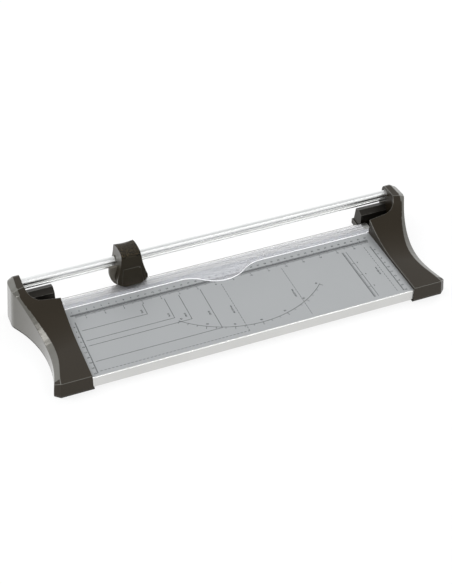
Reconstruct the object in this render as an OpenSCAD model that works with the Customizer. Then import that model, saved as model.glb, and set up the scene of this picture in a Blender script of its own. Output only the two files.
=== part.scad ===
// Rotary paper trimmer: an aluminium board between two moulded end caps, a round guide rail
// and a thin guide rod between the caps' arms, and a cutter head that slides along them.
// Every piece is drawn about the cutting line: x along it from the middle, y = 0 at the
// cutting edge and growing to the back, z = 0 on the top of the board. The placing module
// then moves it so that the whole part stands on z = 0 with its middle at the origin.

/* [Board] */
// length of the board that shows between the two end caps
board_l = 440; // [360:10:500]
// depth of the board from its front edge to the cutting edge
board_d = 156; // [154:0.5:158]
// height of the board
board_h = 15.8; // [15:0.2:17]
// thickness of the board's top wall
board_wall = 2.4; // [2:0.1:3.5]
// length of board that is hidden in each end cap
board_tuck = 8; // [6:0.5:8]
// thickness of the printed scale sheet
sheet_t = 0.5; // [0.3:0.1:0.8]
// back edge of the scale sheet, in front of the cutting line
sheet_back = 15.5; // [14:0.5:18]

/* [Counter knife] */
// thickness of the counter knife
knife_t = 3.5; // [3:0.1:3.6]
// height of the counter knife
knife_h = 12; // [10:0.5:12]
// how far the knife's edge lies below the board's top
knife_drop = 0.3; // [0.1:0.1:0.5]

/* [Clear strip] */
// thickness of the clear strip
strip_t = 1.5; // [1.2:0.1:1.7]
// gap between the board and the strip at rest
strip_gap = 0.3; // [0.2:0.05:0.4]
// how far the strip can rise over the paper
strip_rise = 1.2; // [0.8:0.1:1.2]
// back edge of the strip, in front of the cutting line
strip_back = 4; // [3.8:0.1:5]
// front edge of the strip, in front of the cutting line
strip_front = 24; // [23:0.5:26]
// depth of the rounded bulge in the strip's front edge
bulge_d = 21.3; // [12:0.1:24]
// half of the bulge's width
bulge_w = 58; // [50:1:70]

/* [Guide rail] */
// outer diameter of the guide rail
rail_d = 10; // [9.6:0.1:10.4]
// wall of the guide rail
rail_wall = 1; // [0.8:0.1:1.5]
// distance of rail and rod behind the cutting line
rail_y = 13; // [12.6:0.1:13.4]
// height of the rail's axis above the board
rail_z = 32; // [31.8:0.1:32.4]
// diameter of the guide rod
rod_d = 4.5; // [4:0.1:4.6]
// height of the rod's axis above the board
rod_z = 22.9; // [22.6:0.1:23]

/* [Cutting head] */
// place of the head along the board, measured from the middle
head_x = -120; // [-200:0.5:200]
// half width of the head at its top
head_top = 12.9; // [12.5:0.1:13.5]
// half width of the head at its foot
head_foot = 20.8; // [20.2:0.1:21.4]
// how far the head's front stands before the cutting line
head_front = 13; // [12.6:0.1:13.4]
// height of the head's crown above the board
head_high = 56.5; // [56:0.1:57]
// depth of the hollow along the head's top
saddle_d = 1.2; // [0.8:0.1:1.6]

/* [Blade] */
// diameter of the round blade
blade_d = 28; // [27:0.2:28.4]
// thickness of the round blade
blade_t = 0.6; // [0.4:0.1:0.7]
// how far the blade reaches below the board's top
blade_dip = 1; // [0.6:0.1:1.2]
// diameter of the blade's axle
axle_d = 4; // [3.5:0.1:4.2]

/* [End caps] */
// wall of the end caps
cap_wall = 2.5; // [2:0.1:3]
// how far the caps stand before the board's front edge
cap_lip = 2; // [1.5:0.1:3]
// height of the caps' front above the board
cap_low = 5; // [4:0.1:6]
// height of the arms above the board
arm_high = 42.3; // [42:0.1:42.8]
// lean of the caps' outer walls in degrees
cap_lean = 6; // [5:0.1:6.5]
// slope of the bevel along the caps' outer edge
bevel_slope = 0.46; // [0.4:0.01:0.5]
// thickness of the base plates
plate_t = 1.8; // [1.5:0.1:2.2]
// how far the rubber feet stand out below the base plates
foot_out = 1.4; // [1:0.1:2.5]

/* [Hidden] */
// clearance between a part and the recess it lies in
fit_gap = 0.15;
// running clearance on a radius
run_gap = 0.05;
// frame of the whole part
cap_back = 27;
cap_front = board_d + cap_lip;
cut_y = (cap_front - cap_back) / 2;
top_z = board_h + plate_t + foot_out;
half_l = board_l / 2;
// ribs of the board, their screw channels and the lip round the scale sheet
rib_places = [16, 66, 116];
rib_w = 8;
channel_w = 3;
channel_d = 9;
plate_lip = 1.2;
base_screw_l = 10;
board_screw_l = 7;
sheet_lip = 1.2;
board_edge_r = 1;
front_leg = 3;
back_leg = 8;
// trench behind the cap's body, where knife and strip end
trench_y = -24;
trench_u = 42;
trench_r = 18;
trench_z = -10;
knife_tuck = 7;
knife_screw_z = -6.3;
// plan of the cap: waist, back bulge and back corner as [u, y, radius]
waist = [204.9, -98, 165];
bulge_arc = [45, -5, 20];
back_arc = [47, 9, 18];
chamfer_u = 41.5;
// curved top of the cap
sweep_r = 140;
sweep_s = -92;
sweep_yaw = 16;
arm_r = arm_high - rail_z;
arm_back = rail_y + arm_r;
back_bend_z = 12;
arm_slope = 0.56;
bevel_end_u = 51;
// inner line of the bevel as [y, u]
bevel_line = [
    [-172, 40.6], [-164, 40.2], [-156, 39.5], [-148, 38.3], [-140, 36.5], [-132, 34.5], [-124, 32.6],
    [-116, 31.2], [-108, 30.3], [-100, 29.8], [-92, 29.8], [-84, 30.3], [-76, 31.4], [-68, 33.1],
    [-60, 35.3], [-52, 37.7], [-44, 40.4], [-36, 43.4], [-30, 46.2], [-24, 48.9], [-18, 51.2],
    [-12, 52.3], [-6, 52.3]
];
// end blocks between the arms and the trench's mouth
block_u = 1.5;
block_front = 3.4;
block_back = 24;
block_gap = 0.1;
// sockets of rail and rod in the arms
rail_end_u = 54;
rod_end_u = 52;
rail_screw_u = 49;
screw_sink = 1.2;
// strip guides and their springs
tongue_u = 15;
tongue_front = 22;
tongue_back = 16;
guide_front = 23.7;
guide_back = 14.2;
guide_u = 9;
guide_end_u = 17.6;
spring_u = 10.4;
spring_w = 4;
spring_t = 0.3;
spring_chord = 5.6;
spring_room = 2;
guide_roof = strip_gap + strip_t + strip_rise + spring_room;
// head
guard_r = 29;
guard_u = 1;
guard_z = 22.5;
guard_right = 22.5;
guard_top = 31;
guard_top_u = 17.2;
guard_bend_z = 11;
guard_low = 1.2;
guard_back = 2.9;
guard_wall = 1.3;
shell_low = 3.4;
shell_back = -1.7;
shell_wall = 2.2;
carriage_low = 16.2;
carriage_back = 22;
foot_r = 27;
foot_arc_z = 28.5;
// flank of the head: an arc from the top's edge to the foot
flank_low = 16.5;
flank_r = 147;
flank_half = norm([head_foot - head_top, head_high - flank_low]) / 2;
flank_out = sqrt(flank_r * flank_r - flank_half * flank_half);
flank_c = [
    (head_top + head_foot) / 2 + flank_out * (head_high - flank_low) / (2 * flank_half),
    (head_high + flank_low) / 2 + flank_out * (head_foot - head_top) / (2 * flank_half)
];
// crown of the head and the smaller arc that leads from it into the front
crown_r = 50;
crown_y = -2;
front_r = 7;
shoulder_y = -head_front + front_r;
shoulder_z = head_high - crown_r + sqrt(pow(crown_r - front_r, 2) - pow(shoulder_y - crown_y, 2));
saddle_half = head_top + 1.5;
saddle_r = (saddle_half * saddle_half + saddle_d * saddle_d) / (2 * saddle_d);
pad_t = 1.2;
pad_back = 20.5;
pad_arc_r = 23;
pad_arc_z = 29;
panel_top = 33;
panel_u = 12;
bush_wall = 1.2;
bush_l = 7;
bush_out = 16;
glide_half = 7;
slot_half = 3.4;
tab_u = 9;
tab_top = 49.5;
// room behind the rail for the guard's screws, closed by the rear cover
room_front = 8;
room_low = 39.6;
room_high = 45.8;
room_top = 49.6;
cover_t = 2;
guard_screw_d = 3;
guard_screw_u = 5.2;
guard_screw_z = 46.5;
cover_screw_d = 2.2;
cover_screw_u = 9.6;
cover_screw_z = 42.7;
cover_boss_d = 5;
// blade stack along y
blade_z = blade_d / 2 - blade_dip;
blade_y = run_gap;
hub_front = -5.2;
washer_t = 0.3;
blade_room = 0.8;

// Placing

// moves a piece from the cutting line to the part's own frame
module place() {
    translate([0, cut_y, top_z]) children();
}

// the right end: u = 0 on the cap's inner face, growing outward
module right_end() {
    translate([half_l, 0, 0]) children();
}

// the left end, the mirror image of the right one
module left_end() {
    mirror([1, 0, 0]) right_end() children();
}

// both ends
module both_ends() {
    left_end() children();
    right_end() children();
}

// the cutter head's own middle
module at_head() {
    translate([head_x, 0, 0]) children();
}

// a profile drawn as [y, z], run along x
module along_x(x0, x1) {
    translate([x0, 0, 0]) rotate([90, 0, 90]) linear_extrude(x1 - x0) children();
}

// a profile drawn as [x, z], run along y
module along_y(y0, y1) {
    translate([0, y1, 0]) rotate([90, 0, 0]) linear_extrude(y1 - y0) children();
}

// a round bar along y
module pin_y(x, z, d, y0, y1) {
    translate([x, y1, z]) rotate([90, 0, 0]) cylinder(d = d, h = y1 - y0, $fn = 48);
}

// a round bar along z
module pin_z(x, y, d, z0, z1) {
    translate([x, y, z0]) cylinder(d = d, h = z1 - z0, $fn = 48);
}

// Board

// outline of the board with its rounded front edges
module board_outline() {
    translate([-board_d + board_edge_r, -board_h]) square([board_d - board_edge_r - knife_t, board_h]);
    translate([-board_d, -board_h + board_edge_r]) square([2 * board_edge_r, board_h - 2 * board_edge_r]);
    for (z = [-board_edge_r, -board_h + board_edge_r])
        translate([-board_d + board_edge_r, z]) circle(r = board_edge_r, $fn = 32);
}

module board_profile() {
    difference() {
        board_outline();
        // recess of the scale sheet
        translate([-board_d + sheet_lip, -sheet_t]) square([board_d - sheet_back - sheet_lip, 5]);
        // hollow bays, open below
        bay(-board_d + front_leg, -board_d + rib_places[0] - rib_w / 2);
        bay(-board_d + rib_places[0] + rib_w / 2, -board_d + rib_places[1] - rib_w / 2);
        bay(-board_d + rib_places[1] + rib_w / 2, -board_d + rib_places[2] - rib_w / 2);
        bay(-board_d + rib_places[2] + rib_w / 2, -knife_t - back_leg);
        // screw channels in the ribs
        for (p = rib_places)
            translate([-board_d + p - channel_w / 2, -board_h - 1]) square([channel_w, channel_d + 1]);
    }
}

// one bay between two ribs
module bay(y0, y1) {
    translate([y0, -board_h - 1]) square([y1 - y0, board_h - board_wall - sheet_t + 1]);
}

module base_board() {
    color("silver") place() difference() {
        along_x(-half_l - board_tuck, half_l + board_tuck) board_profile();
        for (x = knife_screw_places())
            pin_y(x, knife_screw_z, 3, -knife_t - 7, 1);
    }
}

module scale_sheet() {
    color("lightsteelblue") place()
        along_x(-half_l - board_tuck, half_l + board_tuck)
            translate([-board_d + sheet_lip, -sheet_t])
                square([board_d - sheet_back - sheet_lip, sheet_t]);
}

// Counter knife

function knife_screw_places() = [for (k = [-2:2]) k * (half_l - 20) / 2];

module counter_knife() {
    color("dimgray") place() difference() {
        along_x(-half_l - knife_tuck, half_l + knife_tuck)
            translate([-knife_t, -knife_drop - knife_h]) square([knife_t, knife_h]);
        for (x = knife_screw_places()) {
            pin_y(x, knife_screw_z, 3, -knife_t - 1, 1);
            translate([x, 0.01, knife_screw_z]) rotate([90, 0, 0])
                cylinder(d1 = 6, d2 = 3, h = 1.5, $fn = 48);
        }
    }
}

module knife_screws() {
    color("gray") place()
        for (x = knife_screw_places())
            difference() {
                union() {
                    pin_y(x, knife_screw_z, 3, -knife_t - 6.5, -0.1);
                    translate([x, 0, knife_screw_z]) rotate([90, 0, 0])
                        cylinder(d1 = 5.96, d2 = 3, h = 1.48, $fn = 48);
                }
                translate([x - 0.4, -0.8, knife_screw_z - 4]) cube([0.8, 2, 8]);
                translate([x - 4, -0.8, knife_screw_z - 0.4]) cube([8, 2, 0.8]);
            }
}

// Clear strip

// height of the two-arc bulge at distance a from its middle
function bulge_arc_r() = (bulge_w * bulge_w + bulge_d * bulge_d) / (4 * bulge_d);
function bulge_at(a) =
    a < bulge_w / 2
        ? bulge_d - bulge_arc_r() + sqrt(bulge_arc_r() * bulge_arc_r() - a * a)
        : bulge_arc_r() - sqrt(bulge_arc_r() * bulge_arc_r() - (bulge_w - a) * (bulge_w - a));

module strip_plan() {
    half = half_l - 1.5;
    polygon(concat(
        [[half, -strip_front], [half, -strip_back], [-half, -strip_back], [-half, -strip_front]],
        [for (k = [-24:24]) [k * bulge_w / 24, -strip_front - bulge_at(abs(k) * bulge_w / 24)]]
    ));
    // tongues that reach into the strip guides
    translate([-half_l - tongue_u, -tongue_front])
        square([2 * half_l + 2 * tongue_u, tongue_front - tongue_back]);
}

module clear_strip() {
    color("lightblue", 0.4) place()
        translate([0, 0, strip_gap]) linear_extrude(strip_t) strip_plan();
}

module strip_guide() {
    difference() {
        translate([guide_u, -guide_front, trench_z])
            cube([guide_end_u - guide_u, guide_front - guide_back, guide_roof + 2 - trench_z]);
        // room for the tongue and its spring
        translate([guide_u - 1, -tongue_front - 0.3, strip_gap - run_gap])
            cube([
                tongue_u - guide_u + 1.6, tongue_front - tongue_back + 0.6,
                guide_roof - strip_gap + run_gap
            ]);
        // hollow foot
        translate([guide_u + 1.5, -guide_front + 1.5, trench_z - 1])
            cube([guide_end_u - guide_u - 3, guide_front - guide_back - 3, -trench_z - 1.2]);
    }
}

module left_strip_guide() {
    color("dimgray") place() left_end() strip_guide();
}

module right_strip_guide() {
    color("dimgray") place() right_end() strip_guide();
}

// one bowed leaf: its ends under the guide's roof, its belly on the tongue
module leaf_spring() {
    rise = guide_roof - strip_gap - strip_t;
    leaf_r = (spring_chord * spring_chord / 4 + rise * rise) / (2 * rise);
    mid_y = -(tongue_front + tongue_back) / 2;
    along_x(spring_u, spring_u + spring_w) intersection() {
        translate([mid_y, strip_gap + strip_t + leaf_r]) difference() {
            circle(r = leaf_r, $fn = 96);
            circle(r = leaf_r - spring_t, $fn = 96);
        }
        translate([mid_y - spring_chord, strip_gap + strip_t - 1]) square([2 * spring_chord, rise + 1]);
    }
}

module strip_springs() {
    color("silver") place() both_ends() leaf_spring();
}

// Guide rail and rod

module guide_rail() {
    reach = half_l + rail_end_u;
    color("silver") place() difference() {
        along_x(-reach, reach) translate([rail_y, rail_z]) difference() {
            circle(d = rail_d, $fn = 96);
            circle(d = rail_d - 2 * rail_wall, $fn = 96);
        }
        both_ends() pin_y(rail_screw_u, rail_z, 4, rail_y, rail_y + rail_d);
    }
}

module guide_rod() {
    reach = half_l + rod_end_u;
    color("silver") place()
        along_x(-reach, reach) translate([rail_y, rod_z]) circle(d = rod_d, $fn = 64);
}

// threaded plugs in the rail's ends
module rail_plugs() {
    color("gray") place() both_ends() difference() {
        along_x(rail_end_u - 12, rail_end_u)
            translate([rail_y, rail_z]) circle(d = rail_d - 2 * rail_wall, $fn = 64);
        pin_y(rail_screw_u, rail_z, 4, rail_y - 3, rail_y + rail_d);
    }
}

// one screw from the back of the arm through the rail into its plug
module rail_screw() {
    head_y = arm_back - screw_sink;
    difference() {
        union() {
            pin_y(rail_screw_u, rail_z, 4, rail_y - 2.5, head_y - 1);
            translate([rail_screw_u, head_y, rail_z]) rotate([90, 0, 0])
                cylinder(d1 = 7.96, d2 = 4, h = 2, $fn = 48);
        }
        translate([rail_screw_u - 0.5, head_y - 1, rail_z - 5]) cube([1, 3, 10]);
        translate([rail_screw_u - 5, head_y - 1, rail_z - 0.5]) cube([10, 3, 1]);
    }
}

module rail_screws() {
    color("gray") place() both_ends() rail_screw();
}

// End caps

// plan of the cap drawn t mm inside its faces; its inner side runs on past the board
module cap_plan(t) {
    touch_y = waist[1] + waist[2] * (bulge_arc[1] - waist[1]) / (waist[2] + bulge_arc[2]) + 0.503 * t;
    difference() {
        polygon([
            [-80, -cap_front + t], [chamfer_u - 0.376 * t, -cap_front + t],
            [chamfer_u - 0.376 * t + 40, -cap_front + t + 35],
            [chamfer_u + 40, touch_y], [-80, touch_y]
        ]);
        translate([waist[0], waist[1]]) circle(r = waist[2] + t, $fn = 360);
    }
    translate([-80, -16]) square([80 + back_arc[0], cap_back - t + 16]);
    translate([bulge_arc[0], bulge_arc[1]]) circle(r = bulge_arc[2] - t, $fn = 96);
    translate([40, bulge_arc[1]]) square([25 - t, back_arc[1] - bulge_arc[1]]);
    translate([back_arc[0], back_arc[1]]) circle(r = back_arc[2] - t, $fn = 96);
}

// side view of the cap drawn t mm inside its faces, from height z0 up
module cap_side(t, z0) {
    translate([-cap_front - 20, z0]) square([cap_front + 20 + rail_y, arm_high - t - z0]);
    polygon([
        [rail_y, z0], [cap_back - t, z0], [cap_back - t, back_bend_z],
        [arm_back - t, rail_z], [rail_y, rail_z]
    ]);
    translate([rail_y, rail_z]) circle(r = arm_r - t, $fn = 96);
}

// the room above the cap's curved top
module sweep_cut(t) {
    rotate([0, 0, -sweep_yaw]) {
        translate([-150, sweep_s, cap_low + sweep_r]) rotate([0, 90, 0])
            cylinder(r = sweep_r + t, h = 300, $fn = 360);
        translate([-150, sweep_s - 200, cap_low - t]) cube([300, 200, 120]);
    }
}

// plan of the trench behind the cap's body
module trench_plan(t) {
    difference() {
        translate([-60, trench_y - t]) square([60 + trench_u + t, 120]);
        difference() {
            translate([trench_u - trench_r, trench_y - t - 1]) square([trench_r + t + 1, trench_r + t + 1]);
            translate([trench_u - trench_r, trench_y + trench_r]) circle(r = trench_r + t, $fn = 96);
        }
    }
}

module trench_cut(t) {
    translate([0, 0, trench_z - t]) linear_extrude(120) trench_plan(t);
}

// height of the curved top at [u, y]
function sweep_at(u, y) = y * cos(sweep_yaw) + u * sin(sweep_yaw) - sweep_s;
function cap_top(u, y) =
    sweep_at(u, y) < 0
        ? cap_low
        : min(arm_high, cap_low + sweep_r - sqrt(sweep_r * sweep_r - pow(min(sweep_at(u, y), 130), 2)));

// the four corners of the bevel's cutter at one row; d lowers it for the hollow inside
function bevel_row(y, u, d) = [
    [u - 2, y, cap_top(u - 2, y) + 2 * bevel_slope - d],
    [u + 16, y, cap_top(u + 16, y) - 16 * bevel_slope - d],
    [u + 16, y, cap_top(u + 16, y) + 30],
    [u - 2, y, cap_top(u - 2, y) + 30]
];

// the same four corners where the arm's top is rounded, a degrees behind its highest line
function bevel_turn(a, u, d) = [
    for (c = [[u - 2, 2 * arm_slope - d], [u + 11, -11 * arm_slope - d], [u + 11, 30], [u - 2, 30]])
        [c[0], rail_y + (arm_r + c[1]) * sin(a), rail_z + (arm_r + c[1]) * cos(a)]
];

// wedge that bevels the cap's outer top edge
module bevel_cut(d) {
    rows = concat(
        [for (p = bevel_line) bevel_row(p[0], p[1], d)],
        [for (k = [0:4]) bevel_turn(18 * k, bevel_end_u, d)]
    );
    n = len(rows);
    polyhedron(
        points = [for (r = rows) for (p = r) p],
        faces = concat(
            [[3, 2, 1, 0], [4 * n - 4, 4 * n - 3, 4 * n - 2, 4 * n - 1]],
            [for (i = [0:n - 2]) for (k = [0:3])
                [4 * i + k, 4 * i + (k + 1) % 4, 4 * i + 4 + (k + 1) % 4]],
            [for (i = [0:n - 2]) for (k = [0:3])
                [4 * i + k, 4 * i + 4 + (k + 1) % 4, 4 * i + 4 + k]]
        )
    );
}

// the cap as a full block, drawn t mm inside its faces, from height z0 up
module cap_block(t, z0) {
    difference() {
        intersection() {
            translate([65, 0, -board_h]) rotate([0, -cap_lean, 0])
                translate([-65, 0, -30]) linear_extrude(130) cap_plan(t);
            along_x(t, 90) cap_side(t, z0);
        }
        sweep_cut(t);
        trench_cut(t);
        bevel_cut(1.25 * t);
    }
}

// screw bosses of the cap as [u, y]
function boss_places() = [[26, -147], [24, -92], [30, -36], [53, 6]];
function block_screw_places() = [[9, 14], [34, 14]];

// webs, bosses and sockets inside the cap
module cap_inside() {
    // web that closes the board's socket
    translate([board_tuck + 0.2, -cap_front, -board_h]) cube([2.5, cap_front + trench_y, 60]);
    // cross ribs
    for (y = [-125, -108, -70, -52])
        translate([board_tuck, y, -board_h + 3]) cube([60, 1.8, 60]);
    for (p = boss_places())
        pin_z(p[0], p[1], 8, -board_h, 60);
    // sockets of rail and rod
    along_x(trench_u, 90) hull() {
        translate([rail_y, rail_z]) circle(d = rail_d + 6, $fn = 48);
        translate([rail_y, rod_z]) circle(d = rod_d + 6, $fn = 48);
    }
    along_x(trench_u, 90) translate([rail_y - 1.25, -board_h + 3]) square([2.5, 30]);
    // boss round the rail's screw
    pin_y(rail_screw_u, rail_z, 12, rail_y, cap_back);
}

module end_cap() {
    difference() {
        union() {
            difference() {
                cap_block(0, -board_h);
                cap_block(cap_wall, -board_h - 5);
            }
            intersection() {
                cap_block(1, -board_h);
                cap_inside();
            }
        }
        // socket of the board and of the knife's end
        translate([-5, -board_d - fit_gap, -board_h - 1])
            cube([5 + board_tuck + 0.2, board_d + 2 * fit_gap, board_h + 1 + fit_gap]);
        // seats of rail and rod
        along_x(-5, rail_end_u) translate([rail_y, rail_z]) circle(d = rail_d, $fn = 96);
        along_x(-5, rod_end_u) translate([rail_y, rod_z]) circle(d = rod_d, $fn = 64);
        // hole of the rail's screw
        pin_y(rail_screw_u, rail_z, 4, rail_y, cap_back + 1);
        pin_y(rail_screw_u, rail_z, 8, arm_back - screw_sink - 0.01, cap_back + 1);
        translate([rail_screw_u, arm_back - screw_sink, rail_z]) rotate([90, 0, 0])
            cylinder(d1 = 8, d2 = 4, h = 2.02, $fn = 48);
        // pilot holes
        for (p = boss_places())
            pin_z(p[0], p[1], 3, -board_h - 1, -board_h + 12);
        for (p = block_screw_places())
            pin_z(p[0], p[1], 3.2, -board_h - 1, trench_z + 1);
    }
}

module left_end_cap() {
    color("#3a3632") place() left_end() end_cap();
}

module right_end_cap() {
    color("#3a3632") place() right_end() end_cap();
}

// End blocks

module end_block() {
    difference() {
        along_x(block_u, trench_u - block_gap) polygon([
            [block_front, trench_z], [block_front, 10], [11, 15], [20, 12], [block_back, trench_z]
        ]);
        // pockets, open below
        for (u = [4, 14, 26])
            along_x(u, u + (u == 4 ? 1.8 : 3.6)) polygon([
                [block_front + 2.5, trench_z - 1], [block_front + 2.5, 8.5], [11, 12], [17.6, 10],
                [block_back - 3, trench_z - 1]
            ]);
        for (p = block_screw_places())
            pin_z(p[0], p[1], 3, trench_z - 1, trench_z + 10);
    }
}

module left_end_block() {
    color("#33302d") place() left_end() end_block();
}

module right_end_block() {
    color("#33302d") place() right_end() end_block();
}

// screws from below through the trench's floor into the blocks
module block_screws() {
    color("gray") place() both_ends()
        for (p = block_screw_places())
            difference() {
                union() {
                    pin_z(p[0], p[1], 3, trench_z - cap_wall, trench_z + 8);
                    pin_z(p[0], p[1], 5.6, trench_z - cap_wall - 2, trench_z - cap_wall);
                }
                cross_slot(p, trench_z - cap_wall - 2);
            }
}

// cross recess in a screw head that faces down at height z
module cross_slot(p, z) {
    translate([p[0] - 0.4, p[1] - 1.8, z - 1]) cube([0.8, 3.6, 2]);
    translate([p[0] - 1.8, p[1] - 0.4, z - 1]) cube([3.6, 0.8, 2]);
}

// Base plates

function foot_places() = [[22, -130], [24, -62], [50, 18]];
function board_screw_places() = [[4, -board_d + rib_places[0]], [4, -board_d + rib_places[2]]];

module base_plate() {
    difference() {
        translate([0, 0, -board_h - plate_t]) linear_extrude(plate_t) intersection() {
            cap_plan(0.3);
            union() {
                translate([-plate_lip, -300]) square([90, 300]);
                translate([0, -10]) square([90, 60]);
            }
        }
        for (p = boss_places())
            screw_seat(p);
        for (p = board_screw_places())
            screw_seat(p);
        // seats of the feet
        for (p = foot_places())
            pin_z(p[0], p[1], 12, -board_h - plate_t - 1, -board_h - plate_t + 0.8);
    }
}

// countersunk hole in the base plate
module screw_seat(p) {
    pin_z(p[0], p[1], 3.2, -board_h - plate_t - 1, -board_h + 1);
    translate([p[0], p[1], -board_h - plate_t - 0.01]) cylinder(d1 = 6.2, d2 = 3.2, h = 1.5, $fn = 48);
}

// countersunk screw through the base plate, l mm long above it
module plate_screw(p, l, d) {
    difference() {
        union() {
            pin_z(p[0], p[1], d, -board_h - plate_t + 0.5, -board_h + l);
            translate([p[0], p[1], -board_h - plate_t + 0.1]) cylinder(d1 = 5.9, d2 = d, h = 1.4, $fn = 48);
        }
        cross_slot(p, -board_h - plate_t);
    }
}

module left_base_plate() {
    color("#33302d") place() left_end() base_plate();
}

module right_base_plate() {
    color("#33302d") place() right_end() base_plate();
}

module base_screws() {
    color("gray") place() both_ends()
        for (p = boss_places())
            plate_screw(p, base_screw_l, 3);
}

module board_screws() {
    color("gray") place() both_ends()
        for (p = board_screw_places())
            plate_screw(p, board_screw_l, channel_w);
}

module rubber_feet() {
    color("black") place() both_ends()
        for (p = foot_places())
            translate([p[0], p[1], -board_h - plate_t - foot_out]) {
                cylinder(d1 = 10.4, d2 = 12, h = 0.8, $fn = 48);
                translate([0, 0, 0.8]) cylinder(d = 12, h = foot_out, $fn = 48);
            }
}

// Cutter head

// front view of the head drawn t mm inside its faces
module head_front_view(t) {
    difference() {
        intersection() {
            union() {
                translate([0, foot_arc_z]) circle(r = foot_r - t, $fn = 128);
                translate([-40, foot_arc_z]) square([80, 60]);
            }
            translate([-head_foot + t, shell_low]) square([2 * (head_foot - t), 80]);
        }
        for (side = [-1, 1])
            translate([side * flank_c[0], flank_c[1]]) circle(r = flank_r + t, $fn = 360);
    }
}

// n + 1 points on an arc of radius r round c, from angle a0 to a1
function arc_points(c, r, a0, a1, n) =
    [for (k = [0:n]) c + r * [cos(a0 + (a1 - a0) * k / n), sin(a0 + (a1 - a0) * k / n)]];

// side view of the head's upper part drawn t mm inside its faces
module head_side_view(t) {
    crown_z = head_high - crown_r;
    turn = atan2(shoulder_z - crown_z, shoulder_y - crown_y);
    end = acos((carriage_back - t - crown_y) / (crown_r - t));
    polygon(concat(
        [[-head_front + t, guard_top]],
        arc_points([shoulder_y, shoulder_z], front_r - t, 180, turn, 8),
        arc_points([crown_y, crown_z], crown_r - t, turn + (end - turn) / 24, end, 23),
        [[carriage_back - t, guard_top]]
    ));
}

// ring whose inner side hollows the crown from flank to flank, d mm deeper than its face
module saddle_cut(d) {
    translate([0, crown_y, head_high - crown_r]) rotate([0, 90, 0]) rotate_extrude($fn = 240)
        intersection() {
            translate([crown_r - saddle_d + saddle_r, 0]) circle(r = saddle_r + d, $fn = 360);
            translate([crown_r - saddle_d - d - 1, -20]) square([12, 40]);
        }
}

// the head's upper part and its front, as a full block
module head_block(t) {
    difference() {
        intersection() {
            along_y(-30, 30) head_front_view(t);
            union() {
                along_x(-30, 30) head_side_view(t);
                translate([-30, -head_front + t, 0]) cube([60, head_front + shell_back - t, guard_top + 5]);
            }
        }
        saddle_cut(t);
    }
}

// the carriage behind the guard, below the head's upper part
module carriage_block() {
    intersection() {
        along_y(guard_back + 0.1, carriage_back) head_front_view(0);
        translate([-30, 0, carriage_low]) cube([60, 60, guard_top + 5 - carriage_low]);
    }
}

// the region covered by the grip pad
module pad_region(g) {
    difference() {
        translate([-30, -30, pad_arc_z + 16]) cube([60, 30 + pad_back - g, 40]);
        along_y(-40, 40) translate([0, pad_arc_z]) circle(r = pad_arc_r + g, $fn = 128);
    }
}

module grip_pad() {
    color("#2b2926") place() at_head() difference() {
        intersection() {
            head_block(0);
            pad_region(fit_gap);
        }
        head_block(pad_t);
    }
}

// opening for the blade cover in the head's front, g mm smaller all round
module panel_view(g) {
    polygon([
        [-panel_u - 4 + g, 0], [panel_u + 4 - g, 0], [panel_u - g, panel_top - g],
        [-panel_u + g, panel_top - g]
    ]);
}

function head_screw_places() = [[-guard_screw_u, guard_screw_z], [guard_screw_u, guard_screw_z]];
function cover_screw_places() = [[-cover_screw_u, cover_screw_z], [cover_screw_u, cover_screw_z]];

module head_body() {
    color("#3a3632") place() at_head() difference() {
        union() {
            head_block(0);
            carriage_block();
        }
        // recess of the grip pad
        difference() {
            pad_region(0);
            head_block(pad_t);
        }
        // hollow behind the front wall
        intersection() {
            along_y(-30, 30) head_front_view(shell_wall);
            translate([-30, -head_front + shell_wall, 0])
                cube([60, head_front - shell_wall + shell_back + 0.01, 46]);
        }
        translate([-30, -head_front + shell_wall, 0])
            cube([60, head_front - shell_wall + shell_back, shell_low + 1]);
        // opening of the blade cover
        along_y(-30, -head_front + shell_wall + 0.01) panel_view(0);
        // room of the blade
        pin_y(0, blade_z, blade_d + 2 * blade_room, -3, 1.5);
        // slot of the guard's tab
        translate([-tab_u - 0.1, guard_back - guard_wall - 0.05, 0])
            cube([2 * tab_u + 0.2, guard_wall + 0.1, tab_top + 0.2]);
        translate([-30, shell_back, 0]) cube([60, guard_back - shell_back + 0.1, guard_top + 0.1]);
        // bore of the rail's bushes and slot of the rod
        along_x(-40, 40) {
            translate([rail_y, rail_z]) circle(d = rail_d + 2 * run_gap + 2 * bush_wall, $fn = 96);
            translate([rail_y - slot_half, 0]) square([2 * slot_half, rail_z - 4]);
        }
        // room behind, closed by the rear cover
        along_x(-panel_u, panel_u) polygon([
            [room_front, room_low], [30, room_low], [30, room_high], [19, room_high],
            [13, room_top], [room_front, room_top]
        ]);
        for (p = head_screw_places())
            pin_y(p[0], p[1], guard_screw_d, -5, room_front + 1);
    }
    // bosses that take the rear cover's screws
    color("#3a3632") place() at_head()
        for (p = cover_screw_places())
            difference() {
                pin_y(p[0], p[1], cover_boss_d, room_front - 1, carriage_back - cover_t);
                pin_y(p[0], p[1], cover_screw_d, 13, 30);
            }
}

module head_rear_cover() {
    color("#33302d") place() at_head() difference() {
        translate([-panel_u + fit_gap, carriage_back - cover_t, room_low + fit_gap])
            cube([2 * panel_u - 2 * fit_gap, cover_t, room_high - room_low - 2 * fit_gap]);
        for (p = cover_screw_places())
            pin_y(p[0], p[1], cover_screw_d, 0, 30);
    }
}

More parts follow.
